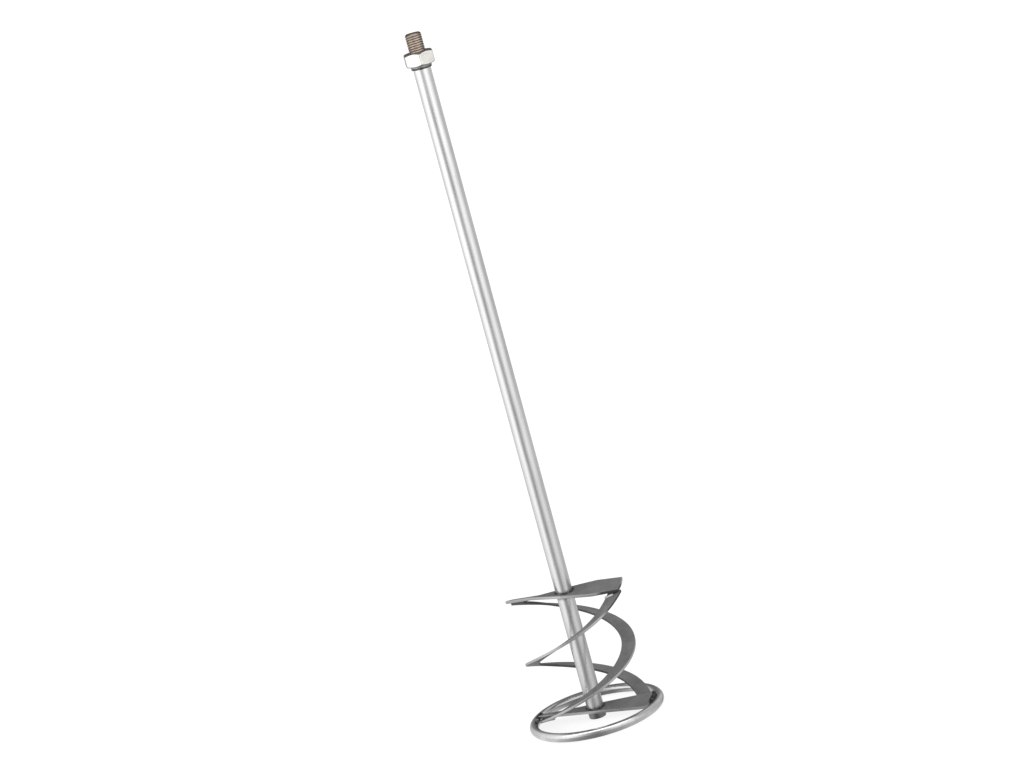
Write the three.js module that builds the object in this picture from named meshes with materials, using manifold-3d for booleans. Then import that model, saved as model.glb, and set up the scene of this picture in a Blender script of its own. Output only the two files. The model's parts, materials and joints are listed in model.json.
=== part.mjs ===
// Mortar mixing paddle: a welded steel mixing head on a long tube, with a threaded stud at the drive end.
//
// Millimetres. +Z runs up the shaft to the drive end and +X runs along the crossbars.
// The origin is on the shaft's axis, in the plane that the bottom ring stands on.

import * as THREE from 'three';
import { mergeVertices } from 'three/addons/utils/BufferGeometryUtils.js';
import Module from 'manifold-3d';

const wasm = await Module();
wasm.setup();

// ---------------------------------------------------------------- driving dimensions

const GAP = 0.3; // between pieces that touch

// Bottom ring, bent from round rod
const RING_RADIUS = 56; // of the rod's centre line
const RING_ROD_RADIUS = 4;

// Shaft, a round tube
const SHAFT_RADIUS = 7.5;
const SHAFT_BORE_RADIUS = 5;
const SHAFT_TOP = 586.8;
const PLUG_LENGTH = 6;
const PLUG_INSET = 0.5;

// Drive end: an M14 stud with a shoulder, and the nut that runs on it
const THREAD_RADIUS = 7;
const THREAD_DEPTH = 1.1;
const THREAD_PITCH = 2;
const THREAD_START = 589;
const STUD_TOP = 616;
const STUD_SPIGOT_LENGTH = 20;
const STUD_CHAMFER = 1.2;
const SHOULDER_RADIUS = 9;
const SHOULDER_THICKNESS = 1.9;
const NUT_WIDTH = 24; // across the flats
const NUT_HEIGHT = 11;
const NUT_BASE = 589;
const NUT_BORE_RADIUS = THREAD_RADIUS + 0.35;
const NUT_TURN = THREE.MathUtils.degToRad(-4.5);
const NUT_CHAMFER_SLOPE = Math.tan(THREE.MathUtils.degToRad(30));

// Crossbars, flat bars whose arms are twisted the way the blades climb. twist is the arms' sideways
// slope from twistReach outwards.
const BAR_THICKNESS = 2.6;
const UPPER_BAR = {
  height: 115.2,
  rootWidth: 24,
  tipWidth: 18,
  tipRadius: 52.5,
  twist: 0.265,
  twistReach: 28,
};
const LOWER_BAR = {
  height: 7.5,
  rootWidth: 20,
  tipWidth: 19,
  tipRadius: 51.6,
  twist: 0.25,
  twistReach: 42,
};

// Blades, two flat strips wound into right-hand helices that pass under both crossbars. They climb
// flatter near the lower bar, evenly from there on, and steeper towards the upper bar: the first over
// its last eighth of a turn, the second over its whole upper half. As they climb, the first leans
// inwards and the second outwards.
const BLADE_INNER_RADIUS = 36.8;
const BLADE_OUTER_RADIUS = 49;
const BLADE_THICKNESS = 2.2;
const BLADE_PITCH = 107.87; // climb in a turn, where it is even
const BLADE_FOOT_HEIGHT = 3.65; // of the middle surface, under the lower bar's middle line
const BLADE_FOOT_CLIMB = 0.66; // at the lower bar, as a share of the even climb
const BLADE_TOP_END = THREE.MathUtils.degToRad(-6);
const BLADE_FOOT_END = THREE.MathUtils.degToRad(-359);
const BLADE_END_ZONE = THREE.MathUtils.degToRad(45);
const BLADE_TOP_FLARE = 5.9; // outwards at the very ends
const BLADE_FOOT_FLARE = 2.6;
const BLADE_STEPS = 80;

// topClimb is the climb at the upper bar, as a share of the even climb, and topZone is where it grows.
// lean is the inward slope that the blade would reach at the upper bar.
const BLADES = {
  a: { topClimb: 1.7, topZone: THREE.MathUtils.degToRad(45), lean: 0.17 },
  b: { topClimb: 1.14, topZone: THREE.MathUtils.degToRad(180), lean: -0.12 },
};

// Weld beads
const SHAFT_WELD_LEG = 1.6;
const STUD_WELD_LEG = 1.5;
const LAP_WELD_LEG = 2.2;
const LAP_WELD_START = 38.4; // from the shaft's axis, along the arm
const LAP_WELD_END = 47;
const RING_WELD_RADIUS = 2.4;
const RING_WELD_START = THREE.MathUtils.degToRad(-5);
const RING_WELD_END = THREE.MathUtils.degToRad(17);

// ---------------------------------------------------------------- materials

const steel = (color, roughness) => new THREE.MeshStandardMaterial({ color, roughness, metalness: 1 });

const brightTube = () => steel(0xd2d3d4, 0.28);
const brightRod = () => steel(0xcfd0d1, 0.3);
const darkSheet = () => steel(0x7d7f81, 0.5);
const bareThread = () => steel(0x8a7a6c, 0.45);
const platedNut = () => steel(0xe9e4d6, 0.3);
const weldMetal = () => steel(0x6c6d6e, 0.55);

// ---------------------------------------------------------------- shape helpers

function lathe(profile, segments) {
  const points = profile.map(([radius, height]) => new THREE.Vector2(radius, height));
  return new THREE.LatheGeometry(points, segments).rotateX(Math.PI / 2);
}

function cylinder(radius, bottom, top, segments, turn = 0) {
  const geometry = new THREE.CylinderGeometry(radius, radius, top - bottom, segments);
  return geometry.rotateX(Math.PI / 2).rotateZ(turn).translate(0, 0, (bottom + top) / 2);
}

// Joins a row of equal convex outlines into one closed solid. Each outline runs anticlockwise as
// seen from ahead, looking back along the row.
function loft(outlines) {
  const count = outlines[0].length;
  const indices = [];
  for (let row = 0; row + 1 < outlines.length; row += 1) {
    for (let i = 0; i < count; i += 1) {
      const a = row * count + i;
      const b = row * count + ((i + 1) % count);
      indices.push(a, b, b + count, a, b + count, a + count);
    }
  }
  const last = (outlines.length - 1) * count;
  for (let i = 1; i + 1 < count; i += 1) {
    indices.push(0, i + 1, i, last, last + i, last + i + 1);
  }
  const geometry = new THREE.BufferGeometry();
  geometry.setAttribute('position', new THREE.Float32BufferAttribute(outlines.flat(2), 3));
  geometry.setIndex(indices);
  geometry.computeVertexNormals();
  return geometry;
}

function toSolid(geometry) {
  const bare = geometry.clone();
  bare.deleteAttribute('normal');
  bare.deleteAttribute('uv');
  const merged = mergeVertices(bare, 1e-4);
  const triVerts = [];
  for (let i = 0; i < merged.index.count; i += 3) {
    const corners = [0, 1, 2].map((k) => merged.index.getX(i + k));
    if (new Set(corners).size === 3) {
      triVerts.push(...corners);
    }
  }
  const vertProperties = merged.attributes.position.array;
  const mesh = new wasm.Mesh({ numProp: 3, vertProperties, triVerts: new Uint32Array(triVerts) });
  return new wasm.Manifold(mesh);
}

function fromSolid(solid) {
  const mesh = solid.getMesh();
  const geometry = new THREE.BufferGeometry();
  geometry.setAttribute('position', new THREE.Float32BufferAttribute(mesh.vertProperties, 3));
  geometry.setIndex(Array.from(mesh.triVerts));
  geometry.computeVertexNormals();
  return geometry;
}

const cut = (solid, ...tools) => tools.reduce((left, tool) => left.subtract(tool), solid);

// ---------------------------------------------------------------- bottom ring

const RING_STEPS = 72;
const RING_SIDES = 16;

// The rod's outline has a flat side at the bottom, at z = 0. grow makes it fatter.
function ringGeometry(grow = 0) {
  const cornerRadius = (RING_ROD_RADIUS + grow) / Math.cos(Math.PI / RING_SIDES);
  const profile = [];
  for (let i = 0; i <= RING_SIDES; i += 1) {
    const angle = ((i + 0.5) / RING_SIDES) * 2 * Math.PI;
    profile.push([
      RING_RADIUS + cornerRadius * Math.cos(angle),
      RING_ROD_RADIUS + cornerRadius * Math.sin(angle),
    ]);
  }
  profile[RING_SIDES] = profile[0];
  return lathe(profile, RING_STEPS);
}

// ---------------------------------------------------------------- shaft and drive end

const ROUND = 40; // sides of a turned piece

function shaftGeometry() {
  const edge = 0.5;
  return lathe([
    [SHAFT_BORE_RADIUS, 0],
    [SHAFT_RADIUS - edge, 0],
    [SHAFT_RADIUS, edge],
    [SHAFT_RADIUS, SHAFT_TOP],
    [SHAFT_BORE_RADIUS, SHAFT_TOP],
    [SHAFT_BORE_RADIUS, 0],
  ], ROUND);
}

function plugGeometry() {
  const radius = SHAFT_BORE_RADIUS - GAP;
  return cylinder(radius, PLUG_INSET, PLUG_INSET + PLUG_LENGTH, 24);
}

// How far out the thread's surface is at a height and an angle: a right-hand helix of pointed ridges
// that fades into the chamfer at the stud's end and into the relief above the shoulder.
function threadRadius(height, angle) {
  const turns = (height - THREAD_START) / THREAD_PITCH - angle / (2 * Math.PI);
  const phase = turns - Math.floor(turns);
  const ridge = Math.abs(2 * phase - 1);
  const radius = THREAD_RADIUS - THREAD_DEPTH * (1 - ridge);
  const chamfered = THREAD_RADIUS - STUD_CHAMFER + Math.max(0, STUD_TOP - height);
  return Math.min(radius, chamfered);
}

function studGeometry() {
  const sides = 24;
  const spigotRadius = SHAFT_BORE_RADIUS - GAP;
  const reliefRadius = THREAD_RADIUS - THREAD_DEPTH;
  const shoulderBase = SHAFT_TOP + GAP;
  const shoulderTop = shoulderBase + SHOULDER_THICKNESS - GAP;
  const plain = [
    [spigotRadius - 0.7, SHAFT_TOP - STUD_SPIGOT_LENGTH],
    [spigotRadius, SHAFT_TOP - STUD_SPIGOT_LENGTH + 0.7],
    [spigotRadius, shoulderBase],
    [SHOULDER_RADIUS, shoulderBase],
    [SHOULDER_RADIUS, shoulderTop],
    [reliefRadius, shoulderTop],
  ];
  const circle = (height, radiusAt) => Array.from({ length: sides }, (_, i) => {
    const angle = (i / sides) * 2 * Math.PI;
    const radius = radiusAt(angle);
    return [radius * Math.cos(angle), radius * Math.sin(angle), height];
  });
  const outlines = plain.map(([radius, height]) => circle(height, () => radius));
  const rows = ((STUD_TOP - THREAD_START) / THREAD_PITCH) * 4;
  for (let i = 0; i <= rows; i += 1) {
    const height = THREAD_START + (i / rows) * (STUD_TOP - THREAD_START);
    outlines.push(circle(height, (angle) => threadRadius(height, angle)));
  }
  return loft(outlines);
}

function studWeldGeometry() {
  const top = SHAFT_TOP;
  const inner = SHAFT_RADIUS + GAP;
  const outer = SHOULDER_RADIUS - 0.2;
  return lathe([
    [inner, top - STUD_WELD_LEG],
    [inner + 0.3, top - STUD_WELD_LEG],
    [outer, top - 0.3],
    [outer, top],
    [inner, top],
    [inner, top - STUD_WELD_LEG],
  ], ROUND);
}

// A hexagon whose corners are turned off at 30 degrees at both ends, with a countersunk bore.
function nutGeometry() {
  const cornerRadius = NUT_WIDTH / 2 / Math.cos(Math.PI / 6);
  const top = NUT_BASE + NUT_HEIGHT;
  const faceRadius = NUT_WIDTH / 2 - 0.4;
  const rim = cornerRadius + 1;
  const drop = (rim - faceRadius) * NUT_CHAMFER_SLOPE;
  const hexagon = toSolid(cylinder(cornerRadius, NUT_BASE, top, 6, Math.PI / 2 + NUT_TURN));
  const turned = toSolid(lathe([
    [0, NUT_BASE],
    [faceRadius, NUT_BASE],
    [rim, NUT_BASE + drop],
    [rim, top - drop],
    [faceRadius, top],
    [0, top],
  ], 48));
  const bore = toSolid(lathe([
    [0, NUT_BASE - 1],
    [NUT_BORE_RADIUS + 1.9, NUT_BASE - 1],
    [NUT_BORE_RADIUS, NUT_BASE + 0.9],
    [NUT_BORE_RADIUS, top - 0.9],
    [NUT_BORE_RADIUS + 1.9, top + 1],
    [0, top + 1],
  ], 32));
  return fromSolid(hexagon.intersect(turned).subtract(bore));
}

// ---------------------------------------------------------------- crossbars

function barHalfWidth(bar, distance) {
  return THREE.MathUtils.lerp(bar.rootWidth, bar.tipWidth, distance / bar.tipRadius) / 2;
}

// The bar's sideways slope at a signed distance along it: level at the shaft
function barSlope(bar, x) {
  return bar.twist * THREE.MathUtils.clamp(x / bar.twistReach, -1, 1);
}

function barStrip(bar, grow = 0) {
  const reach = bar.tipRadius + 2;
  const steps = 28;
  const outlines = [];
  for (let i = 0; i <= steps; i += 1) {
    const x = THREE.MathUtils.lerp(-reach, reach, i / steps);
    const halfWidth = barHalfWidth(bar, Math.abs(x)) + grow;
    const slope = barSlope(bar, x);
    const halfHeight = (BAR_THICKNESS / 2) * Math.hypot(1, slope) + grow;
    outlines.push([
      [x, -halfWidth, bar.height - slope * halfWidth - halfHeight],
      [x, halfWidth, bar.height + slope * halfWidth - halfHeight],
      [x, halfWidth, bar.height + slope * halfWidth + halfHeight],
      [x, -halfWidth, bar.height - slope * halfWidth + halfHeight],
    ]);
  }
  return toSolid(loft(outlines));
}

function crossbarGeometry(bar) {
  const bottom = bar.height - 20;
  const top = bar.height + 20;
  const round = toSolid(cylinder(bar.tipRadius, bottom, top, 96));
  const hole = toSolid(cylinder(SHAFT_RADIUS + GAP, bottom, top, 32));
  return fromSolid(barStrip(bar).intersect(round).subtract(hole));
}

// ---------------------------------------------------------------- blades

const FULL_TURN = 2 * Math.PI;

const BLADE_CLIMB = BLADE_PITCH / FULL_TURN; // for each radian

// Grows from 0 at an end zone's inner limit to 1 at the end of the blade, as a parabola
const endShare = (depth, zone = BLADE_END_ZONE) => Math.max(0, 1 - depth / zone) ** 2;

// Height of the blade's middle surface at its outer edge. angle is 0 under the upper bar and -2 pi
// under the lower bar. The climb changes steadily inside a zone, so the heights there are a parabola.
function bladeHeight(shape, angle) {
  const topRise = (BLADE_CLIMB * (shape.topClimb - 1) * shape.topZone) / 2;
  const footRise = (BLADE_CLIMB * (BLADE_FOOT_CLIMB - 1) * BLADE_END_ZONE) / 2;
  const top = topRise * endShare(-angle, shape.topZone);
  const foot = footRise * (1 - endShare(angle + FULL_TURN));
  return BLADE_FOOT_HEIGHT + BLADE_CLIMB * (angle + FULL_TURN) + foot + top;
}

function bladeFlare(angle) {
  return BLADE_TOP_FLARE * endShare(-angle) + BLADE_FOOT_FLARE * endShare(angle + FULL_TURN);
}

// How far the middle surface sinks below its outer edge on the way in. The lean grows with the climb
// and goes out again at the upper bar, where the blade lies flat under the arm.
function bladeSink(shape, angle, radius) {
  const slope = shape.lean * (1 + angle / FULL_TURN) * (1 - endShare(-angle));
  return slope * (BLADE_OUTER_RADIUS - radius);
}

// Half of the blade's thickness, measured along Z
const bladeHalfHeight = (radius) => (BLADE_THICKNESS / 2) * Math.hypot(1, BLADE_CLIMB / radius);

function bladeGeometry(shape, grow = 0) {
  const outlines = [];
  for (let i = 0; i <= BLADE_STEPS; i += 1) {
    const angle = THREE.MathUtils.lerp(BLADE_FOOT_END, BLADE_TOP_END, i / BLADE_STEPS);
    const height = bladeHeight(shape, angle);
    const flare = bladeFlare(angle);
    const corner = (radius, side) => [
      (radius + flare) * Math.cos(angle),
      (radius + flare) * Math.sin(angle),
      height - bladeSink(shape, angle, radius) + side * (bladeHalfHeight(radius) + grow),
    ];
    outlines.push([
      corner(BLADE_INNER_RADIUS - grow, -1),
      corner(BLADE_INNER_RADIUS - grow, 1),
      corner(BLADE_OUTER_RADIUS + grow, 1),
      corner(BLADE_OUTER_RADIUS + grow, -1),
    ]);
  }
  return loft(outlines);
}

// ---------------------------------------------------------------- weld beads

// A round fillet in the corner between the shaft and one side of a crossbar (side is 1 or -1).
function shaftWeldGeometry(bar, side) {
  const inner = SHAFT_RADIUS + GAP;
  const face = bar.height + side * (BAR_THICKNESS / 2);
  const buried = bar.height + side * 0.5;
  const leg = SHAFT_WELD_LEG;
  const profile = [
    [inner, buried],
    [inner + leg, buried],
    [inner + leg, face + side * 0.5],
    [inner + leg * 0.45, face + side * leg * 0.55],
    [inner, face + side * leg],
    [inner, buried],
  ];
  if (side < 0) {
    profile.reverse();
  }
  return fromSolid(cut(toSolid(lathe(profile, ROUND)), barStrip(bar, GAP)));
}

// A fillet along one edge of an arm (side is 1 or -1), on top of the blade that passes under it.
// turn is the blade's angle at the bar's middle line.
function lapWeldGeometry(shape, bar, side, turn) {
  const steps = 4;
  const outlines = [];
  for (let i = 0; i <= steps; i += 1) {
    const x = THREE.MathUtils.lerp(LAP_WELD_START, LAP_WELD_END, i / steps);
    const edge = side * (barHalfWidth(bar, x) + GAP);
    const out = side * LAP_WELD_LEG;
    const surface = (y) => {
      const angle = turn + Math.atan2(y, x);
      const radius = Math.hypot(x, y);
      const middle = bladeHeight(shape, angle) - bladeSink(shape, angle, radius);
      return middle + bladeHalfHeight(radius) + GAP;
    };
    const outline = [
      [x, edge + out, surface(edge + out)],
      [x, edge, surface(edge)],
      [x, edge, surface(edge) + LAP_WELD_LEG],
      [x, edge + out * 0.55, surface(edge) + LAP_WELD_LEG * 0.5],
    ];
    outlines.push(side < 0 ? outline : outline.reverse());
  }
  return loft(outlines);
}

// A bead in the groove between the ring and the outer edges of the lower arm and the blade's foot.
function ringWeldGeometry(shape) {
  const steps = 10;
  const sides = 12;
  const outlines = [];
  for (let i = 0; i <= steps; i += 1) {
    const angle = THREE.MathUtils.lerp(RING_WELD_START, RING_WELD_END, i / steps);
    outlines.push(Array.from({ length: sides }, (_, k) => {
      const around = (k / sides) * FULL_TURN;
      const reach = LOWER_BAR.tipRadius + 0.8 + RING_WELD_RADIUS * Math.cos(around);
      const height = 2 * RING_ROD_RADIUS + 3.5 * angle + RING_WELD_RADIUS * Math.sin(around);
      return [reach * Math.cos(angle), reach * Math.sin(angle), height];
    }));
  }
  const bead = toSolid(loft(outlines.reverse()));
  const blade = toSolid(bladeGeometry(shape, GAP));
  const pieces = cut(bead, toSolid(ringGeometry(GAP)), barStrip(LOWER_BAR, GAP), blade).decompose();
  const [largest] = pieces.sort((a, b) => b.volume() - a.volume());
  return fromSolid(largest);
}

// ---------------------------------------------------------------- assembly

const paddle = new THREE.Group();

function add(parent, name, geometry, material) {
  const mesh = new THREE.Mesh(geometry, material);
  mesh.name = name;
  parent.add(mesh);
}

add(paddle, 'shaft_tube', shaftGeometry(), brightTube());
add(paddle, 'shaft_end_plug', plugGeometry(), brightTube());
add(paddle, 'threaded_stud', studGeometry(), bareThread());
add(paddle, 'stud_weld', studWeldGeometry(), weldMetal());
add(paddle, 'lock_nut', nutGeometry(), platedNut());
add(paddle, 'upper_crossbar', crossbarGeometry(UPPER_BAR), darkSheet());
add(paddle, 'lower_crossbar', crossbarGeometry(LOWER_BAR), darkSheet());
add(paddle, 'bottom_ring', ringGeometry(), brightRod());
add(paddle, 'weld_shaft_upper_top', shaftWeldGeometry(UPPER_BAR, 1), weldMetal());
add(paddle, 'weld_shaft_upper_bottom', shaftWeldGeometry(UPPER_BAR, -1), weldMetal());
add(paddle, 'weld_shaft_lower_top', shaftWeldGeometry(LOWER_BAR, 1), weldMetal());

// The two sides of the mixing head are alike but for the blades' climb and lean, half a turn apart.
Object.entries(BLADES).forEach(([side, shape], i) => {
  const half = new THREE.Group();
  half.rotation.z = i * Math.PI;
  paddle.add(half);
  add(half, `blade_${side}`, bladeGeometry(shape), darkSheet());
  add(half, `weld_blade_top_${side}`, lapWeldGeometry(shape, UPPER_BAR, -1, 0), weldMetal());
  add(half, `weld_blade_foot_${side}`, lapWeldGeometry(shape, LOWER_BAR, 1, -FULL_TURN), weldMetal());
  add(half, `weld_ring_${side}`, ringWeldGeometry(shape), weldMetal());
});

export default paddle;
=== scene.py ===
# Looks of the mortar mixing paddle: fine surfaces over the CAD frame, steel finishes, light and camera.
# Metres, in the CAD model's frame: +Z up the shaft, +X along the crossbars. Lengths in capital-letter
# constants are in millimetres, as in the CAD model.

import json
import math

import bpy
from mathutils import Matrix, Vector


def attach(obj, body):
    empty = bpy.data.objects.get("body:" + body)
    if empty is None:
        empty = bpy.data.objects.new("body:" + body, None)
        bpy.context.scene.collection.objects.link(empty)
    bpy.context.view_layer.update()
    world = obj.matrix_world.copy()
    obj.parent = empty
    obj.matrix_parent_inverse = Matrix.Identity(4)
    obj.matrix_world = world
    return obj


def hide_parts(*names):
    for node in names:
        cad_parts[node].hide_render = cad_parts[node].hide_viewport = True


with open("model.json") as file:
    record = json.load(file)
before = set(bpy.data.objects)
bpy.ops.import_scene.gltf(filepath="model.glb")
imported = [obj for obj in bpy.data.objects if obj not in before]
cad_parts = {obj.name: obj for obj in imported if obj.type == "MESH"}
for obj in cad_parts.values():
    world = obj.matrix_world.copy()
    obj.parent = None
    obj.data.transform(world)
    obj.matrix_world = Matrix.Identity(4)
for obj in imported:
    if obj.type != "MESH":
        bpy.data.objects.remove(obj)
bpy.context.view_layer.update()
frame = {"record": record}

MM = 0.001
TURN = 2 * math.pi

# ---------------------------------------------------------------- dimensions, as in the CAD model

GAP = 0.3

RING_RADIUS = 56.0
RING_ROD_RADIUS = 4.0

SHAFT_RADIUS = 7.5
SHAFT_BORE_RADIUS = 5.0
SHAFT_TOP = 586.8
PLUG_LENGTH = 6.0
PLUG_INSET = 0.5

SHOULDER_RADIUS = 9.0
SHOULDER_TOP = 588.7
THREAD_RADIUS = 7.0
THREAD_DEPTH = 0.7
THREAD_PITCH = 2.0
THREAD_START = 589.0
STUD_TOP = 616.0
STUD_SPIGOT_LENGTH = 20.0
STUD_CHAMFER = 1.2

NUT_WIDTH = 24.0
NUT_BASE = 589.0
NUT_TOP = 600.0
NUT_BORE_RADIUS = 7.35
NUT_TURN = math.radians(-4.5)
NUT_CHAMFER_SLOPE = math.tan(math.radians(30))

BAR_THICKNESS = 2.6
UPPER_BAR = {
    "height": 115.2,
    "root": 24.0,
    "tip": 18.0,
    "reach": 52.5,
    "twist": 0.265,
    "twist_reach": 28.0,
}
LOWER_BAR = {
    "height": 7.5,
    "root": 20.0,
    "tip": 19.0,
    "reach": 51.6,
    "twist": 0.25,
    "twist_reach": 42.0,
}

BLADE_INNER_RADIUS = 36.8
BLADE_OUTER_RADIUS = 49.0
BLADE_THICKNESS = 2.2
BLADE_PITCH = 107.87
BLADE_CLIMB = BLADE_PITCH / TURN
BLADE_FOOT_HEIGHT = 3.65
BLADE_FOOT_CLIMB = 0.66
BLADE_TOP_END = math.radians(-6)
BLADE_FOOT_END = math.radians(-359)
BLADE_END_ZONE = math.radians(45)
BLADE_TOP_FLARE = 5.9
BLADE_FOOT_FLARE = 2.6
BLADES = {
    "a": {"top_climb": 1.7, "top_zone": math.radians(45), "lean": 0.17},
    "b": {"top_climb": 1.14, "top_zone": math.radians(180), "lean": -0.12},
}

LAP_WELD_START = 38.4
LAP_WELD_END = 47.0
RING_WELD_START = math.radians(-5)
RING_WELD_END = math.radians(17)
RING_WELD_RISE = 3.5  # for each radian

# ---------------------------------------------------------------- camera

CAMERA_PLACE = Vector((1.0667, -2.7080, 0.9366))
CAMERA_TARGET = Vector((0.0033, 0.0013, 0.3054))
CAMERA_ROLL = math.radians(-15.19)
CAMERA_LENS = 123.0
CAMERA_SENSOR_WIDTH = 36.0


def make_camera():
    data = bpy.data.cameras.new("camera")
    data.lens = CAMERA_LENS
    data.sensor_width = CAMERA_SENSOR_WIDTH
    data.clip_start = 0.05
    data.clip_end = 60.0
    camera = bpy.data.objects.new("camera", data)
    bpy.context.scene.collection.objects.link(camera)
    direction = CAMERA_TARGET - CAMERA_PLACE
    turn = direction.to_track_quat("-Z", "Y").to_matrix().to_4x4()
    camera.matrix_world = Matrix.Translation(CAMERA_PLACE) @ turn @ Matrix.Rotation(CAMERA_ROLL, 4, "Z")
    bpy.context.scene.camera = camera


# ---------------------------------------------------------------- node helpers


def grey(value):
    return (value, value, value)


class Nodes:
    """Short calls for building a node tree."""

    def __init__(self, tree):
        self.tree = tree

    def add(self, kind, inputs=None, **settings):
        node = self.tree.nodes.new(kind)
        for key, value in settings.items():
            setattr(node, key, value)
        for key, value in (inputs or {}).items():
            if isinstance(value, bpy.types.NodeSocket):
                self.tree.links.new(value, node.inputs[key])
            else:
                node.inputs[key].default_value = value
        return node

    def ramp(self, fac, stops):
        node = self.add("ShaderNodeValToRGB", {"Fac": fac})
        elements = node.color_ramp.elements
        while len(elements) > 1:
            elements.remove(elements[-1])
        for i, (position, colour) in enumerate(stops):
            element = elements[0] if i == 0 else elements.new(position)
            element.position = position
            element.color = (*colour, 1.0)
        return node.outputs["Color"]

    def math(self, operation, a, b=0.0, c=0.0):
        node = self.add("ShaderNodeMath", {0: a, 1: b, 2: c}, operation=operation)
        return node.outputs["Value"]

    def span(self, value, low, high, to_low=0.0, to_high=1.0):
        """value moved from the range low..high to to_low..to_high, and held at its ends."""
        inputs = {"Value": value, "From Min": low, "From Max": high, "To Min": to_low, "To Max": to_high}
        return self.add("ShaderNodeMapRange", inputs).outputs["Result"]

    def blend(self, fac, a, b):
        node = self.add("ShaderNodeMix", {0: fac, 6: a, 7: b}, data_type="RGBA")
        return node.outputs[2]

    def noise(self, place, scale, detail=3.0, roughness=0.5):
        inputs = {"Vector": place, "Scale": scale, "Detail": detail, "Roughness": roughness}
        return self.add("ShaderNodeTexNoise", inputs).outputs["Fac"]

    def stretched(self, place, x, y, z):
        return self.add("ShaderNodeMapping", {"Vector": place, "Scale": (x, y, z)}).outputs["Vector"]


def new_material(name):
    material = bpy.data.materials.new(name)
    material.use_nodes = True
    material.node_tree.nodes.clear()
    return material, Nodes(material.node_tree)


# ---------------------------------------------------------------- shape helpers

AXIS_RADIUS = 0.02  # of a row that stands for a point on the axis


def polar(radius, angle, height):
    return (radius * math.cos(angle), radius * math.sin(angle), height)


def circle_angles(segments):
    return [TURN * i / segments for i in range(segments)]


def turned_row(radius, height, segments):
    return [polar(radius, angle, height) for angle in circle_angles(segments)]


def grid_faces(rows, columns, close_rows=False):
    """Quads over a grid of points that are stored row by row. Each row closes on itself."""
    faces = []
    for row in range(rows if close_rows else rows - 1):
        for column in range(columns):
            next_row = (row + 1) % rows
            next_column = (column + 1) % columns
            faces.append((
                row * columns + column,
                row * columns + next_column,
                next_row * columns + next_column,
                next_row * columns + column,
            ))
    return faces


def closed_grid(rows):
    """Points and faces of a tube through equal outlines, whose last outline joins its first."""
    points = [point for row in rows for point in row]
    return points, grid_faces(len(rows), len(rows[0]), close_rows=True)


def loft(rows):
    """Points and faces of a closed tube through equal outlines, with flat ends."""
    columns = len(rows[0])
    points = [point for row in rows for point in row]
    faces = grid_faces(len(rows), columns)
    last = (len(rows) - 1) * columns
    faces.append(tuple(reversed(range(columns))))
    faces.append(tuple(range(last, last + columns)))
    return points, faces


def lathe(profile, segments=128):
    """Points and faces of a closed profile turned about Z."""
    return closed_grid([turned_row(radius, height, segments) for radius, height in profile])


def rounded(half_width, half_height, radius, steps=4):
    """Corners of a rectangle round (0, 0) with rounded corners, anticlockwise."""
    outline = []
    for quarter, (x, y) in enumerate(((1, 1), (-1, 1), (-1, -1), (1, -1))):
        for i in range(steps + 1):
            angle = (quarter + i / steps) * TURN / 4
            outline.append((
                x * (half_width - radius) + radius * math.cos(angle),
                y * (half_height - radius) + radius * math.sin(angle),
            ))
    return outline


# ---------------------------------------------------------------- stage and light

WORLD_BRIGHTNESS = 1.12
FLOOR_HALF_SIZE = 30.0
FLOOR_SHADE = 0.2
FLOOR_GLOW = 0.85
TENT_RADIUS = 0.45
TENT_HEIGHT = 1.3
TENT_CENTRE_HOLE = 0.002
TENT_SIDES = 96
TENT_FLOOR_HEIGHT = 0.0002
TENT_MAT_SHARE = 0.7  # brightness in the middle of the mat, as a share of its rim's

# Brightness of the light tent round the object, at the foot of its walls and high up: degrees from
# the camera's side, to its right. An overhead light hangs above them on the camera's side.
PANELS_UPPER_HEIGHT = 0.54
PANELS_FOOT = [
    (-180, 0.15), (-160, 0.25), (-145, 0.60), (-118, 0.72), (-100, 0.80), (-80, 0.94), (-62, 1.02),
    (-46, 0.92), (-32, 0.52), (-16, 0.27), (-4, 0.25), (8, 0.41), (26, 0.62), (40, 0.70),
    (55, 0.72), (72, 0.64), (90, 0.50), (112, 0.48), (145, 0.55), (160, 0.25), (180, 0.15),
]
PANELS_UPPER = [
    (-180, 0.15), (-160, 0.25), (-145, 0.65), (-118, 0.78), (-100, 0.99), (-80, 1.28), (-62, 1.38),
    (-46, 1.20), (-32, 0.60), (-16, 0.34), (-4, 0.34), (8, 0.82), (26, 1.22), (40, 1.22),
    (55, 0.95), (72, 0.70), (90, 0.48), (112, 0.48), (145, 0.55), (160, 0.25), (180, 0.15),
]
PANELS_OVERHEAD = [(-180, 0.15), (-110, 0.15), (-80, 1.60), (80, 1.60), (110, 0.15), (180, 0.15)]
PANELS_BRIGHTEST = 1.6
OVERHEAD_FROM = 0.6
OVERHEAD_TO = 0.68
CAMERA_AZIMUTH = math.atan2(CAMERA_PLACE.y, CAMERA_PLACE.x)


def make_world():
    world = bpy.data.worlds.new("studio")
    world.use_nodes = True
    background = world.node_tree.nodes["Background"]
    background.inputs["Color"].default_value = (1.0, 1.0, 1.0, 1.0)
    background.inputs["Strength"].default_value = WORLD_BRIGHTNESS
    bpy.context.scene.world = world


def make_stage_object(name, points, faces):
    mesh = bpy.data.meshes.new(name)
    mesh.from_pydata(points, [], faces)
    stage = bpy.data.objects.new(name, mesh)
    bpy.context.scene.collection.objects.link(stage)
    return stage


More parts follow.
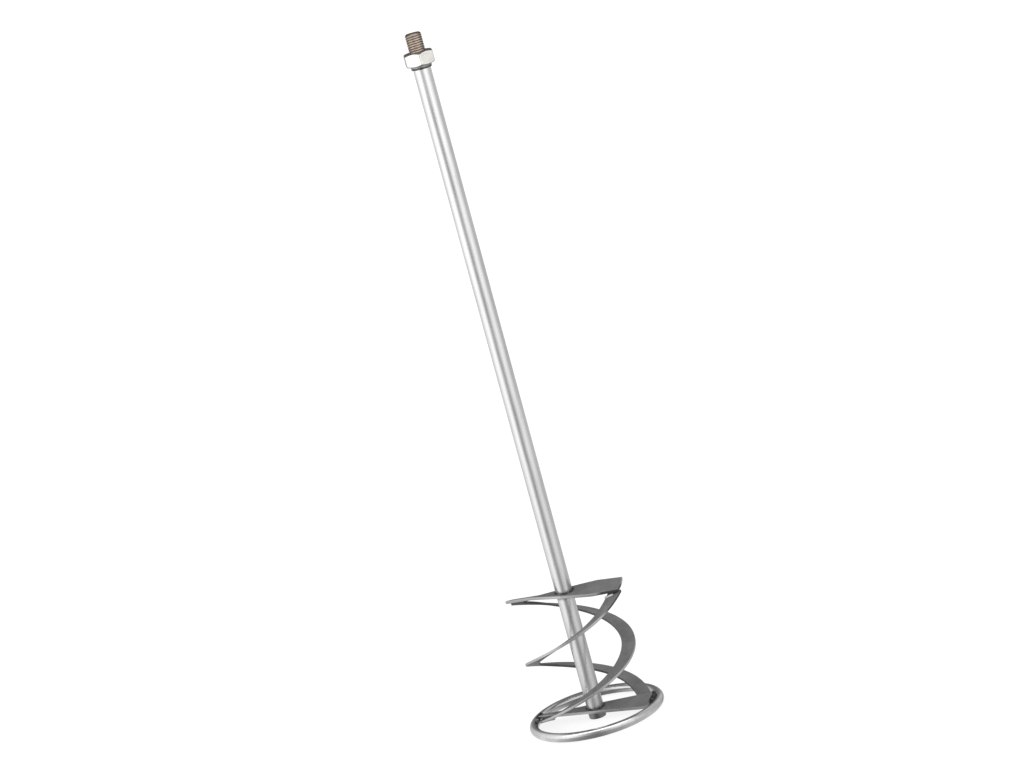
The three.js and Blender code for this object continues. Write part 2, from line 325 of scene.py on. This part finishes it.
def make_floor():
    size = FLOOR_HALF_SIZE
    corners = [(-size, -size, 0), (size, -size, 0), (size, size, 0), (-size, size, 0)]
    floor = make_stage_object("floor", corners, [(0, 1, 2, 3)])
    material, nodes = new_material("floor")
    diffuse = nodes.add("ShaderNodeBsdfDiffuse", {"Color": (*grey(FLOOR_SHADE), 1.0)})
    glow = nodes.add("ShaderNodeEmission", {"Color": (*grey(1.0), 1.0), "Strength": FLOOR_GLOW})
    both = nodes.add("ShaderNodeAddShader", {0: diffuse.outputs["BSDF"], 1: glow.outputs["Emission"]})
    nodes.add("ShaderNodeOutputMaterial", {"Surface": both.outputs["Shader"]})
    floor.data.materials.append(material)


def panel_stops(panels):
    return [((degrees + 180) / 360, grey(value / PANELS_BRIGHTEST)) for degrees, value in panels]


def tent_material():
    material, nodes = new_material("light_tent")
    place = nodes.add("ShaderNodeTexCoord").outputs["Object"]
    inputs = {"Vector": place, "Angle": -CAMERA_AZIMUTH}
    turned = nodes.add("ShaderNodeVectorRotate", inputs, rotation_type="Z_AXIS").outputs["Vector"]
    parts = nodes.add("ShaderNodeSeparateXYZ", {"Vector": turned})
    height = parts.outputs["Z"]
    angle = nodes.math("ARCTAN2", parts.outputs["Y"], parts.outputs["X"])
    share = nodes.math("MULTIPLY_ADD", angle, 1 / TURN, 0.5)
    foot = nodes.ramp(share, panel_stops(PANELS_FOOT))
    upper = nodes.ramp(share, panel_stops(PANELS_UPPER))
    panels = nodes.blend(nodes.span(height, 0.0, PANELS_UPPER_HEIGHT), foot, upper)
    overhead = nodes.ramp(share, panel_stops(PANELS_OVERHEAD))
    colour = nodes.blend(nodes.span(height, OVERHEAD_FROM, OVERHEAD_TO), panels, overhead)
    reach = nodes.add("ShaderNodeVectorMath", {0: turned}, operation="LENGTH").outputs["Value"]
    strength = nodes.span(reach, 0.0, TENT_RADIUS, TENT_MAT_SHARE * PANELS_BRIGHTEST, PANELS_BRIGHTEST)
    light = nodes.add("ShaderNodeEmission", {"Color": colour, "Strength": strength})
    nodes.add("ShaderNodeOutputMaterial", {"Surface": light.outputs["Emission"]})
    return material


def make_tent():
    """A round white tent with graded panels and a graded mat. Only reflections see it."""
    profile = [
        (TENT_CENTRE_HOLE, TENT_HEIGHT),
        (TENT_RADIUS, TENT_HEIGHT),
        (TENT_RADIUS, TENT_FLOOR_HEIGHT),
        (TENT_CENTRE_HOLE, TENT_FLOOR_HEIGHT),
    ]
    points = [point for radius, height in profile for point in turned_row(radius, height, TENT_SIDES)]
    faces = [face[::-1] for face in grid_faces(len(profile), TENT_SIDES)]  # facing outward
    tent = make_stage_object("light_tent", points, faces)
    tent.data.materials.append(tent_material())
    tent.visible_camera = False
    tent.visible_diffuse = False
    tent.visible_shadow = False
    tent.visible_transmission = False


# ---------------------------------------------------------------- steel finishes

# Painted shade on the shaft where the crossbars join it, in metres: by distance from the upper crossbar,
# and by height above the foot, up to the lower one. The shade is full up to the first number of its pair
# and gone at the second. Noise shifts its limits by up to the raggedness, and by half of that on average.
SHADE_RAGGEDNESS = 0.006
UPPER_SHADE_HEIGHT = UPPER_BAR["height"] * MM + SHADE_RAGGEDNESS / 2
UPPER_SHADE_FADE = (0.0022, 0.0045)
FOOT_SHADE_FADE = (0.0115, 0.0150)

# The stretch at the blades' top ends, in metres: heights it begins and ends at, and distance from the
# shaft's axis that it begins at. It sets in, or fades, from the first number of a pair to the second.
BLADE_TOPS_BEGIN = (0.098, 0.102)
BLADE_TOPS_END = (0.1155, 0.1160)
BLADE_TOPS_REACH = (0.033, 0.038)


def finish(nodes, colour, roughness, normal, metallic=1.0):
    inputs = {"Base Color": colour, "Metallic": metallic, "Roughness": roughness, "Normal": normal}
    shader = nodes.add("ShaderNodeBsdfPrincipled", inputs)
    nodes.add("ShaderNodeOutputMaterial", {"Surface": shader.outputs["BSDF"]})


def bump(nodes, height, strength, distance):
    inputs = {"Height": height, "Strength": strength, "Distance": distance}
    return nodes.add("ShaderNodeBump", inputs).outputs["Normal"]


def round_place(nodes):
    """(angle, height) round the shaft's axis, so that drawn lines run straight up it."""
    place = nodes.add("ShaderNodeTexCoord").outputs["Object"]
    parts = nodes.add("ShaderNodeSeparateXYZ", {"Vector": place})
    angle = nodes.math("ARCTAN2", parts.outputs["Y"], parts.outputs["X"])
    inputs = {"X": nodes.math("COSINE", angle), "Y": nodes.math("SINE", angle), "Z": parts.outputs["Z"]}
    return nodes.add("ShaderNodeCombineXYZ", inputs).outputs["Vector"]


def painted_joint_shade(nodes, place):
    """How far the tube is darkened by painted shade at the crossbar joints and below the lower crossbar, 0
    to 1.
    """
    height = nodes.add("ShaderNodeSeparateXYZ", {"Vector": place}).outputs["Z"]
    ragged = nodes.math("MULTIPLY_ADD", nodes.noise(place, 6.0, 4.0, 0.7), SHADE_RAGGEDNESS, height)
    from_bar = nodes.math("ABSOLUTE", nodes.math("SUBTRACT", ragged, UPPER_SHADE_HEIGHT))
    upper = nodes.span(from_bar, *UPPER_SHADE_FADE, 0.85, 0.0)
    lower = nodes.span(ragged, *FOOT_SHADE_FADE, 0.9, 0.0)
    return nodes.math("MAXIMUM", upper, lower)


def bright_tube():
    """Drawn tube with thin bright plating: fine lines along it, faint cloudiness, a few scuffs and painted
    shade at the crossbars.
    """
    material, nodes = new_material("bright_tube")
    place = round_place(nodes)
    lines = nodes.noise(nodes.stretched(place, 26, 26, 3), 1.0, 4.0, 0.6)
    cloud = nodes.noise(nodes.stretched(place, 1.5, 1.5, 22), 1.0, 3.0)
    scuff = nodes.span(nodes.noise(nodes.stretched(place, 5, 5, 60), 1.0, 5.0, 0.7), 0.60, 0.74)
    blotch = nodes.math("MULTIPLY_ADD", lines, 0.4, nodes.math("MULTIPLY", cloud, 0.6))
    colour = nodes.ramp(blotch, [(0.36, (0.80, 0.805, 0.81)), (0.62, (0.92, 0.92, 0.915))])
    worn = nodes.blend(scuff, colour, (0.66, 0.655, 0.65, 1.0))
    # Painted shade: the tube darkened where the crossbars join it and below the lower crossbar.
    painted_shade = painted_joint_shade(nodes, place)
    dark_at_welds = nodes.blend(painted_shade, worn, (0.22, 0.217, 0.213, 1.0))
    rough = nodes.math("MULTIPLY_ADD", scuff, 0.1, nodes.span(cloud, 0.35, 0.65, 0.24, 0.3))
    finish(nodes, dark_at_welds, nodes.math("MULTIPLY_ADD", painted_shade, 0.1, rough), bump(nodes, lines, 0.06, 0.0002))
    return material


def bright_rod():
    """Bent round rod with the same plating, a little duller, with bending marks and fine pits."""
    material, nodes = new_material("bright_rod")
    place = nodes.add("ShaderNodeTexCoord").outputs["Object"]
    cloud = nodes.noise(place, 70.0, 3.0)
    pits = nodes.noise(place, 900.0, 4.0, 0.6)
    scuff = nodes.span(nodes.noise(place, 260.0, 5.0, 0.7), 0.58, 0.72)
    colour = nodes.ramp(cloud, [(0.35, (0.74, 0.745, 0.75)), (0.65, (0.90, 0.90, 0.895))])
    worn = nodes.blend(scuff, colour, (0.60, 0.595, 0.59, 1.0))
    rough = nodes.math("MULTIPLY_ADD", scuff, 0.14, nodes.span(cloud, 0.35, 0.65, 0.14, 0.21))
    finish(nodes, worn, rough, bump(nodes, pits, 0.08, 0.0001))
    return material


def facing(nodes, coords):
    """How far a surface faces up or down (0 to 1), and how far outward from the shaft (-1 to 1)."""
    normal = nodes.add("ShaderNodeSeparateXYZ", {"Vector": coords.outputs["Normal"]})
    upright = nodes.math("ABSOLUTE", normal.outputs["Z"])
    spoke = nodes.stretched(coords.outputs["Object"], 1.0, 1.0, 0.0)
    spoke = nodes.add("ShaderNodeVectorMath", {0: spoke}, operation="NORMALIZE").outputs["Vector"]
    inputs = {0: coords.outputs["Normal"], 1: spoke}
    outward = nodes.add("ShaderNodeVectorMath", inputs, operation="DOT_PRODUCT").outputs["Value"]
    return upright, outward


def near_blade_tops(nodes, place):
    """1 near the blades' top ends, under the tips of the upper crossbar, and 0 elsewhere."""
    height = nodes.add("ShaderNodeSeparateXYZ", {"Vector": place}).outputs["Z"]
    level = nodes.stretched(place, 1.0, 1.0, 0.0)
    reach = nodes.add("ShaderNodeVectorMath", {0: level}, operation="LENGTH").outputs["Value"]
    above = nodes.span(height, *BLADE_TOPS_BEGIN)
    below = nodes.span(height, *BLADE_TOPS_END, 1.0, 0.0)
    outside = nodes.span(reach, *BLADE_TOPS_REACH)
    return nodes.math("MULTIPLY", nodes.math("MULTIPLY", above, below), outside)


def dark_sheet():
    """Rolled strip in dull grey scale with small chips and scratches. Its edges are lighter where they
    face out from the shaft and darker where they face in, and near the blades' top ends, under the tips of
    the upper crossbar, they carry painted shade.
    """
    material, nodes = new_material("dark_sheet")
    coords = nodes.add("ShaderNodeTexCoord")
    place = coords.outputs["Object"]
    upright, outward = facing(nodes, coords)
    cloud = nodes.noise(place, 45.0, 4.0, 0.6)
    grain = nodes.noise(place, 900.0, 5.0, 0.65)
    scratch = nodes.noise(nodes.stretched(place, 420, 60, 420), 1.0, 4.0, 0.7)
    chips = nodes.span(nodes.noise(place, 230.0, 6.0, 0.7), 0.62, 0.70)
    mottle = nodes.math("MULTIPLY_ADD", grain, 0.35, nodes.math("MULTIPLY", cloud, 0.65))
    scale = nodes.ramp(mottle, [
        (0.36, (0.145, 0.146, 0.148)),
        (0.5, (0.190, 0.190, 0.192)),
        (0.64, (0.245, 0.244, 0.242)),
    ])
    scratched = nodes.blend(nodes.span(scratch, 0.62, 0.72), scale, (0.28, 0.28, 0.277, 1.0))
    chipped = nodes.blend(chips, scratched, (0.12, 0.119, 0.117, 1.0))
    sheared = nodes.span(nodes.math("MULTIPLY_ADD", cloud, 0.2, upright), 0.62, 0.82, 1.0, 0.0)
    # Edges lighter where they face out from the shaft and darker where they face in.
    edge_tone = nodes.ramp(nodes.span(outward, -1.0, 1.0), [
        (0.2, (0.14, 0.14, 0.14)),
        (0.5, (0.36, 0.36, 0.355)),
        (0.75, (0.48, 0.48, 0.475)),
        (0.95, (0.60, 0.60, 0.595)),
    ])
    # Painted shade: the edges near the blades' top ends, under the upper crossbar's tips, made near black.
    dark_at_welds = nodes.math("MULTIPLY", sheared, near_blade_tops(nodes, place))
    colour = nodes.blend(dark_at_welds, nodes.blend(sheared, chipped, edge_tone), (0.1, 0.1, 0.098, 1.0))
    metallic = nodes.span(sheared, 0.0, 1.0, 0.3, 0.9)
    face_rough = nodes.span(mottle, 0.36, 0.64, 0.52, 0.38)
    rough = nodes.math("MULTIPLY_ADD", sheared, -0.12, face_rough)
    finish(nodes, colour, rough, bump(nodes, grain, 0.25, 0.00012), metallic=metallic)
    return material


def bare_thread():
    """Uncoated oiled steel, browner in the thread's grooves."""
    material, nodes = new_material("bare_thread")
    place = nodes.add("ShaderNodeTexCoord").outputs["Object"]
    parts = nodes.add("ShaderNodeSeparateXYZ", {"Vector": place})
    squares = nodes.math("MULTIPLY", parts.outputs["X"], parts.outputs["X"])
    reach = nodes.math("SQRT", nodes.math("MULTIPLY_ADD", parts.outputs["Y"], parts.outputs["Y"], squares))
    crest = nodes.span(reach, (THREAD_RADIUS - THREAD_DEPTH) * MM, THREAD_RADIUS * MM)
    cloud = nodes.noise(place, 240.0, 4.0, 0.6)
    grain = nodes.noise(place, 1500.0, 4.0, 0.6)
    steel = nodes.ramp(cloud, [(0.36, (0.36, 0.30, 0.25)), (0.64, (0.50, 0.43, 0.37))])
    thread = nodes.blend(crest, (0.31, 0.25, 0.20, 1.0), steel)
    at_shoulder = nodes.span(parts.outputs["Z"], SHOULDER_TOP * MM, (SHOULDER_TOP + 0.2) * MM, 1.0, 0.0)
    colour = nodes.blend(at_shoulder, thread, (0.36, 0.355, 0.35, 1.0))
    rough = nodes.span(cloud, 0.35, 0.65, 0.3, 0.42)
    finish(nodes, colour, rough, bump(nodes, grain, 0.2, 0.0001))
    return material


def plated_nut():
    """Bright, slightly warm plating with rub marks, and painted shade on the faces at both ends."""
    material, nodes = new_material("plated_nut")
    coords = nodes.add("ShaderNodeTexCoord")
    place = coords.outputs["Object"]
    cloud = nodes.noise(place, 160.0, 3.0)
    grain = nodes.noise(nodes.stretched(place, 300, 300, 1800), 1.0, 4.0, 0.6)
    rubbed = nodes.span(nodes.noise(place, 520.0, 5.0, 0.7), 0.62, 0.74)
    colour = nodes.ramp(cloud, [(0.35, (0.86, 0.835, 0.78)), (0.65, (0.93, 0.91, 0.86))])
    upright, _ = facing(nodes, coords)
    # Painted shade: the faces at the nut's ends, which face up or down, made dark.
    ends = nodes.span(upright, 0.3, 0.8)
    plated = nodes.blend(ends, colour, (0.36, 0.345, 0.33, 1.0))
    worn = nodes.blend(rubbed, plated, (0.80, 0.775, 0.72, 1.0))
    rough = nodes.math("MULTIPLY_ADD", rubbed, 0.1, nodes.span(cloud, 0.35, 0.65, 0.24, 0.32))
    finish(nodes, worn, rough, bump(nodes, grain, 0.06, 0.0001), metallic=0.92)
    return material


def weld_metal():
    """Dull weld bead, dark in blotches of weld scale deepened into painted contact shade, with a painted
    highlight at the blades' top ends.
    """
    material, nodes = new_material("weld_metal")
    place = nodes.add("ShaderNodeTexCoord").outputs["Object"]
    cloud = nodes.noise(place, 300.0, 4.0, 0.6)
    grain = nodes.noise(place, 1400.0, 4.0, 0.65)
    # Dark weld scale, deepened into painted contact shade where the beads meet the parts.
    dark_at_welds = nodes.ramp(cloud, [
        (0.36, (0.045, 0.043, 0.04)),
        (0.5, (0.09, 0.088, 0.085)),
        (0.66, (0.22, 0.218, 0.215)),
    ])
    # Painted highlight: the beads at the blades' top ends made bright.
    painted_glint = nodes.ramp(cloud, [
        (0.36, (0.42, 0.415, 0.41)),
        (0.5, (0.66, 0.655, 0.65)),
        (0.66, (0.82, 0.815, 0.81)),
    ])
    colour = nodes.blend(near_blade_tops(nodes, place), dark_at_welds, painted_glint)
    rough = nodes.span(cloud, 0.35, 0.65, 0.55, 0.38)
    finish(nodes, colour, rough, bump(nodes, grain, 0.35, 0.00015))
    return material


FINISHES = {
    "bright_tube": bright_tube,
    "bright_rod": bright_rod,
    "dark_sheet": dark_sheet,
    "bare_thread": bare_thread,
    "plated_nut": plated_nut,
    "weld_metal": weld_metal,
}
MATERIALS = {slot: make() for slot, make in FINISHES.items()}
SLOTS = {row["node"]: row["material_slot"] for row in frame["record"]["subparts"]}

# ---------------------------------------------------------------- pieces


def make_piece(name, points, faces, node, body="paddle", sharp=35.0, turn=0.0):
    """A smooth-shaded piece that stands for one CAD node. points are in millimetres."""
    mesh = bpy.data.meshes.new(name)
    spin = Matrix.Rotation(turn, 3, "Z")
    mesh.from_pydata([spin @ (Vector(point) * MM) for point in points], [], faces)
    mesh.shade_smooth()
    mesh.set_sharp_from_angle(angle=math.radians(sharp))
    piece = bpy.data.objects.new(name, mesh)
    bpy.context.scene.collection.objects.link(piece)
    piece.data.materials.append(MATERIALS[SLOTS[node]])
    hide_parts(node)
    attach(piece, body)


# ---------------------------------------------------------------- shaft, ring, stud and nut


def make_shaft():
    steps = 40
    edge = 0.7  # height that the rounding at the foot takes
    length = SHAFT_TOP - 0.5 - edge
    profile = [
        (SHAFT_BORE_RADIUS, 0.35),
        (SHAFT_BORE_RADIUS + 0.35, 0.0),
        (SHAFT_RADIUS - 0.6, 0.0),
        (SHAFT_RADIUS - 0.25, 0.12),
        (SHAFT_RADIUS - 0.06, 0.35),
        *[(SHAFT_RADIUS, edge + length * i / steps) for i in range(steps + 1)],
        (SHAFT_RADIUS - 0.4, SHAFT_TOP),
        (SHAFT_BORE_RADIUS, SHAFT_TOP),
    ]
    make_piece("shaft", *lathe(profile), node="shaft_tube")


def make_plug():
    radius = SHAFT_BORE_RADIUS - GAP
    top = PLUG_INSET + PLUG_LENGTH
    profile = [
        (radius - 0.5, PLUG_INSET),
        (radius, PLUG_INSET + 0.4),
        (radius, top),
        (AXIS_RADIUS, top),
        (AXIS_RADIUS, PLUG_INSET),
    ]
    make_piece("end_plug", *lathe(profile, 64), node="shaft_end_plug")


def make_ring():
    rows = []
    for angle in circle_angles(200):
        row = []
        for around in circle_angles(40):
            reach = RING_RADIUS + RING_ROD_RADIUS * math.cos(around)
            row.append(polar(reach, angle, RING_ROD_RADIUS * (1 - math.sin(around))))
        rows.append(row)
    make_piece("ring", *closed_grid(rows), node="bottom_ring")


THREAD_ROWS = 168
GROOVE_HALF_WIDTH = 0.34  # as a share of the pitch
GROOVE_SHARPNESS = 1.2
CENTRE_MARK_RADIUS = 2.0  # of the drilled mark in the stud's end
CENTRE_MARK_DEPTH = 1.4


def thread_radius(height, angle):
    """How far out the thread is: a right-hand helix of rounded grooves, cut off by the end chamfer."""
    turns = (height - THREAD_START) / THREAD_PITCH - angle / TURN
    from_root = abs(turns - math.floor(turns) - 0.5)
    groove = max(0.0, 1 - from_root / GROOVE_HALF_WIDTH) ** GROOVE_SHARPNESS
    radius = THREAD_RADIUS - THREAD_DEPTH * groove
    return min(radius, THREAD_RADIUS - STUD_CHAMFER + max(0.0, STUD_TOP - height))


def make_stud():
    segments = 64
    spigot = SHAFT_BORE_RADIUS - GAP
    foot = SHAFT_TOP - STUD_SPIGOT_LENGTH
    base = SHAFT_TOP + GAP
    rim = THREAD_RADIUS - STUD_CHAMFER
    plain = [
        (AXIS_RADIUS, foot),
        (spigot - 0.7, foot),
        (spigot, foot + 0.7),
        (spigot, base),
        (SHOULDER_RADIUS - 0.2, base),
        (SHOULDER_RADIUS, base + 0.2),
        (SHOULDER_RADIUS, SHOULDER_TOP - 0.2),
        (SHOULDER_RADIUS - 0.2, SHOULDER_TOP),
        (THREAD_RADIUS - THREAD_DEPTH, SHOULDER_TOP),
    ]
    end = [
        (rim - 0.3, STUD_TOP),
        (CENTRE_MARK_RADIUS, STUD_TOP),
        (CENTRE_MARK_RADIUS - 0.4, STUD_TOP - 0.4),
        (AXIS_RADIUS, STUD_TOP - CENTRE_MARK_DEPTH),
    ]
    rows = [turned_row(radius, height, segments) for radius, height in plain]
    for i in range(THREAD_ROWS + 1):
        height = THREAD_START + (STUD_TOP - THREAD_START) * i / THREAD_ROWS
        rows.append([polar(thread_radius(height, a), a, height) for a in circle_angles(segments)])
    rows += [turned_row(radius, height, segments) for radius, height in end]
    make_piece("stud", *loft(rows), node="threaded_stud", sharp=50.0)


def hexagon_radius(angle):
    """Distance from the nut's axis to its flats and slightly softened corners. A corner is at NUT_TURN."""
    sector = TURN / 6
    from_flat = (angle - NUT_TURN) % sector - sector / 2
    corner = NUT_WIDTH / 2 / math.cos(sector / 2)
    flat = NUT_WIDTH / 2 / math.cos(from_flat)
    into_corner = max(0.0, flat - (corner - 0.3))
    return flat - 0.65 * into_corner


def make_nut():
    segments = 360
    face = NUT_WIDTH / 2 - 0.4
    middle = (NUT_BASE + NUT_TOP) / 2
    half = (NUT_TOP - NUT_BASE) / 2
    rim = half - 0.02
    bore_and_face = [
        (NUT_BORE_RADIUS, half - 1.0),
        (NUT_BORE_RADIUS + 0.5, half - 0.5),
        (NUT_BORE_RADIUS + 1.0, half - 0.08),
        (NUT_BORE_RADIUS + 1.25, half),
        (face - 0.3, half),
        (face, rim),
    ]
    # Over the chamfer and round its edge: share of the way from the face to the flats, inset, sink
    chamfer = [(0.5, 0.0, 0.0), (1.0, 0.12, 0.0), (1.0, 0.0, 0.25)]

    def chamfer_row(side, share, inset, sink):
        points = []
        for angle in circle_angles(segments):
            out = (hexagon_radius(angle) - face) * share
            level = rim - out * NUT_CHAMFER_SLOPE - sink
            points.append(polar(face + out - inset, angle, middle + side * level))
        return points

    rows = []
    for side in (-1, 1):
        part = [turned_row(radius, middle + side * level, segments) for radius, level in bore_and_face]
        part += [chamfer_row(side, *place) for place in chamfer]
        rows += part if side < 0 else list(reversed(part))
    make_piece("nut", *closed_grid(rows), node="lock_nut", body="nut", sharp=24.0)


# ---------------------------------------------------------------- crossbars

BAR_EDGE_ROUNDING = 0.45
BAR_HOLE_CLEARANCE = 0.05
BAR_STEPS_ACROSS = 16
BAR_SIDE_STEPS = 40
BAR_TIP_STEPS = 10


def bar_half_width(bar, distance):
    return (bar["root"] + (bar["tip"] - bar["root"]) * distance / bar["reach"]) / 2


def bar_slope(bar, x):
    """The bar's sideways slope at a signed distance along it: level at the shaft."""
    return bar["twist"] * max(-1.0, min(1.0, x / bar["twist_reach"]))


def bar_edge(bar, angle, inset):
    """Distance from the shaft's axis to the bar's outline, moved in by inset."""
    narrowing = (bar["root"] - bar["tip"]) / 2 / bar["reach"]
    side = (bar["root"] / 2 - inset) / (abs(math.sin(angle)) + narrowing * abs(math.cos(angle)))
    return min(side, bar["reach"] - inset)


def bar_angles(bar):
    """Angles that step evenly along the bar's outline, with a vertex at each corner."""
    corner = bar["reach"]  # moved in to where the side meets the tip's arc
    while math.hypot(corner, bar_half_width(bar, corner)) > bar["reach"]:
        corner -= 0.01
    side = [corner * i / BAR_SIDE_STEPS for i in range(BAR_SIDE_STEPS + 1)]
    quarter = [math.atan2(bar_half_width(bar, x), x) for x in side]
    tip = quarter[-1]
    quarter += [tip * (1 - i / BAR_TIP_STEPS) for i in range(1, BAR_TIP_STEPS + 1)]
    quarter.reverse()
    upper = quarter + [math.pi - a for a in reversed(quarter[:-1])]
    return upper + [TURN - a for a in reversed(upper[1:-1])]


def make_crossbar(name, bar, node):
    half = BAR_THICKNESS / 2
    soft = BAR_EDGE_ROUNDING
    cut = soft * 0.3
    hole = SHAFT_RADIUS + BAR_HOLE_CLEARANCE
    across = BAR_STEPS_ACROSS
    angles = bar_angles(bar)
    edge = [
        (soft, half),
        (cut, half - cut),
        (0.0, half - soft),
        (0.0, soft - half),
        (cut, cut - half),
        (soft, -half),
    ]

    def row(share, inset, lift):
        points = []
        for angle in angles:
            radius = hole + (bar_edge(bar, angle, inset) - hole) * share
            x, y, _ = polar(radius, angle, 0.0)
            slope = bar_slope(bar, x)
            points.append((x, y, bar["height"] + slope * y + lift * math.hypot(1, slope)))
        return points

    rows = [row(i / across, soft, half) for i in range(across)]
    rows += [row(1.0, inset, lift) for inset, lift in edge]
    rows += [row(1 - i / across, soft, -half) for i in range(1, across + 1)]
    make_piece(name, *closed_grid(rows), node=node, sharp=40.0)


# ---------------------------------------------------------------- blades

BLADE_STEPS = 260
BLADE_EDGE_ROUNDING = 0.45


def end_share(depth, zone=BLADE_END_ZONE):
    """Grows from 0 at an end zone's inner limit to 1 at the end of the blade, as a parabola."""
    return max(0.0, 1 - depth / zone) ** 2


def blade_height(shape, angle):
    """Height of the blade's middle surface at its outer edge."""
    top_rise = BLADE_CLIMB * (shape["top_climb"] - 1) * shape["top_zone"] / 2
    foot_rise = BLADE_CLIMB * (BLADE_FOOT_CLIMB - 1) * BLADE_END_ZONE / 2
    top = top_rise * end_share(-angle, shape["top_zone"])
    foot = foot_rise * (1 - end_share(angle + TURN))
    return BLADE_FOOT_HEIGHT + BLADE_CLIMB * (angle + TURN) + foot + top


def blade_flare(angle):
    return BLADE_TOP_FLARE * end_share(-angle) + BLADE_FOOT_FLARE * end_share(angle + TURN)


def blade_sink(shape, angle, radius):
    """How far the middle surface sinks below its outer edge on the way in."""
    slope = shape["lean"] * (1 + angle / TURN) * (1 - end_share(-angle))
    return slope * (BLADE_OUTER_RADIUS - radius)


def blade_half_height(radius):
    """Half of the blade's thickness, measured along Z."""
    return BLADE_THICKNESS / 2 * math.hypot(1, BLADE_CLIMB / radius)


def make_blade(name, node, shape, turn):
    middle = (BLADE_INNER_RADIUS + BLADE_OUTER_RADIUS) / 2
    half_width = (BLADE_OUTER_RADIUS - BLADE_INNER_RADIUS) / 2
    half_thickness = BLADE_THICKNESS / 2
    outline = rounded(half_width, half_thickness, BLADE_EDGE_ROUNDING)
    rows = []
    for i in range(BLADE_STEPS + 1):
        angle = BLADE_FOOT_END + (BLADE_TOP_END - BLADE_FOOT_END) * i / BLADE_STEPS
        height = blade_height(shape, angle)
        flare = blade_flare(angle)
        row = []
        for across, up in outline:
            radius = middle + across
            lift = up / half_thickness * blade_half_height(radius) - blade_sink(shape, angle, radius)
            row.append(polar(radius + flare, angle, height + lift))
        rows.append(row)
    make_piece(name, *loft(rows), node=node, turn=turn)


# ---------------------------------------------------------------- weld beads

BEAD_SIDES = 14
BEAD_RIPPLE_PITCH = 1.3
BEAD_END_ROWS = 5  # rows over which an open bead rounds off


def make_bead(name, path, radius, node, ripple=0.09, closed=False, turn=0.0):
    """A rippled bead along a path of points in millimetres, rounded off at its ends."""
    spots = [Vector(point) for point in path]
    count = len(spots)
    rows = []
    travelled = 0.0
    for i, spot in enumerate(spots):
        before = spots[i - 1] if i > 0 or closed else spot
        after = spots[(i + 1) % count] if i + 1 < count or closed else spot
        ahead = (after - before).normalized()
        side = ahead.cross(Vector((0, 0, 1))).normalized()
        up = side.cross(ahead)
        travelled += (spot - before).length if i else 0.0
        swell = abs(math.sin(math.pi * travelled / BEAD_RIPPLE_PITCH))
        size = radius * (1 + ripple * swell - ripple / 2)
        if not closed:
            end = min(i, count - 1 - i) / BEAD_END_ROWS
            size *= math.sqrt(max(0.04, 1 - (1 - min(1.0, end)) ** 2))
        rows.append([
            spot + side * (size * math.cos(around)) + up * (size * math.sin(around))
            for around in circle_angles(BEAD_SIDES)
        ])
    make_piece(name, *(closed_grid(rows) if closed else loft(rows)), node=node, sharp=180.0, turn=turn)


def make_shaft_bead(name, node, bar, side):
    """Round the shaft, on one side of a crossbar (side is 1 or -1)."""
    lift = side * (BAR_THICKNESS / 2 + 0.15)
    path = []
    for angle in circle_angles(200):
        x, y, _ = polar(SHAFT_RADIUS + 0.35, angle, 0.0)
        path.append((x, y, bar["height"] + bar_slope(bar, x) * y + lift))
    make_bead(name, path, 0.9, node, ripple=0.16, closed=True)


def make_lap_bead(name, node, shape, bar, side, blade_turn, turn):
    """Along one edge of an arm (side is 1 or -1), on top of the blade that passes under it."""
    steps = 44
    path = []
    for i in range(steps + 1):
        x = LAP_WELD_START + (LAP_WELD_END - LAP_WELD_START) * i / steps
        y = side * (bar_half_width(bar, x) + 0.15)
        angle = blade_turn + math.atan2(y, x)
        radius = math.hypot(x, y)
        middle = blade_height(shape, angle) - blade_sink(shape, angle, radius)
        path.append((x, y, middle + blade_half_height(radius) + 0.25))
    make_bead(name, path, 1.35, node, turn=turn)


def make_ring_bead(name, node, turn):
    """In the groove between the ring and the tip of the lower arm."""
    steps = 60
    path = []
    for i in range(steps + 1):
        angle = RING_WELD_START + (RING_WELD_END - RING_WELD_START) * i / steps
        height = 2 * RING_ROD_RADIUS - 0.1 + RING_WELD_RISE * angle
        path.append(polar(LOWER_BAR["reach"] + 0.75, angle, height))
    make_bead(name, path, 2.1, node, ripple=0.12, turn=turn)


def make_stud_bead():
    """Round the shaft's top end, under the stud's shoulder."""
    path = turned_row(SHAFT_RADIUS + 0.45, SHAFT_TOP - 0.35, 160)
    make_bead("stud_bead", path, 0.85, "stud_weld", ripple=0.15, closed=True)


# ---------------------------------------------------------------- build

make_camera()
make_world()
make_floor()
make_tent()

make_shaft()
make_plug()
make_ring()
make_stud()
make_nut()
make_crossbar("upper_bar", UPPER_BAR, "upper_crossbar")
make_crossbar("lower_bar", LOWER_BAR, "lower_crossbar")
make_stud_bead()
make_shaft_bead("bead_upper_top", "weld_shaft_upper_top", UPPER_BAR, 1)
make_shaft_bead("bead_upper_bottom", "weld_shaft_upper_bottom", UPPER_BAR, -1)
make_shaft_bead("bead_lower_top", "weld_shaft_lower_top", LOWER_BAR, 1)

# The two sides of the mixing head, half a turn apart
for half, (side, shape) in enumerate(BLADES.items()):
    turn = half * math.pi
    make_blade(f"blade_{side}_strip", f"blade_{side}", shape, turn)
    make_lap_bead(f"bead_top_{side}", f"weld_blade_top_{side}", shape, UPPER_BAR, -1, 0.0, turn)
    make_lap_bead(f"bead_foot_{side}", f"weld_blade_foot_{side}", shape, LOWER_BAR, 1, -TURN, turn)
    make_ring_bead(f"bead_ring_{side}", f"weld_ring_{side}", turn)

bpy.context.scene.view_settings.view_transform = "Standard"
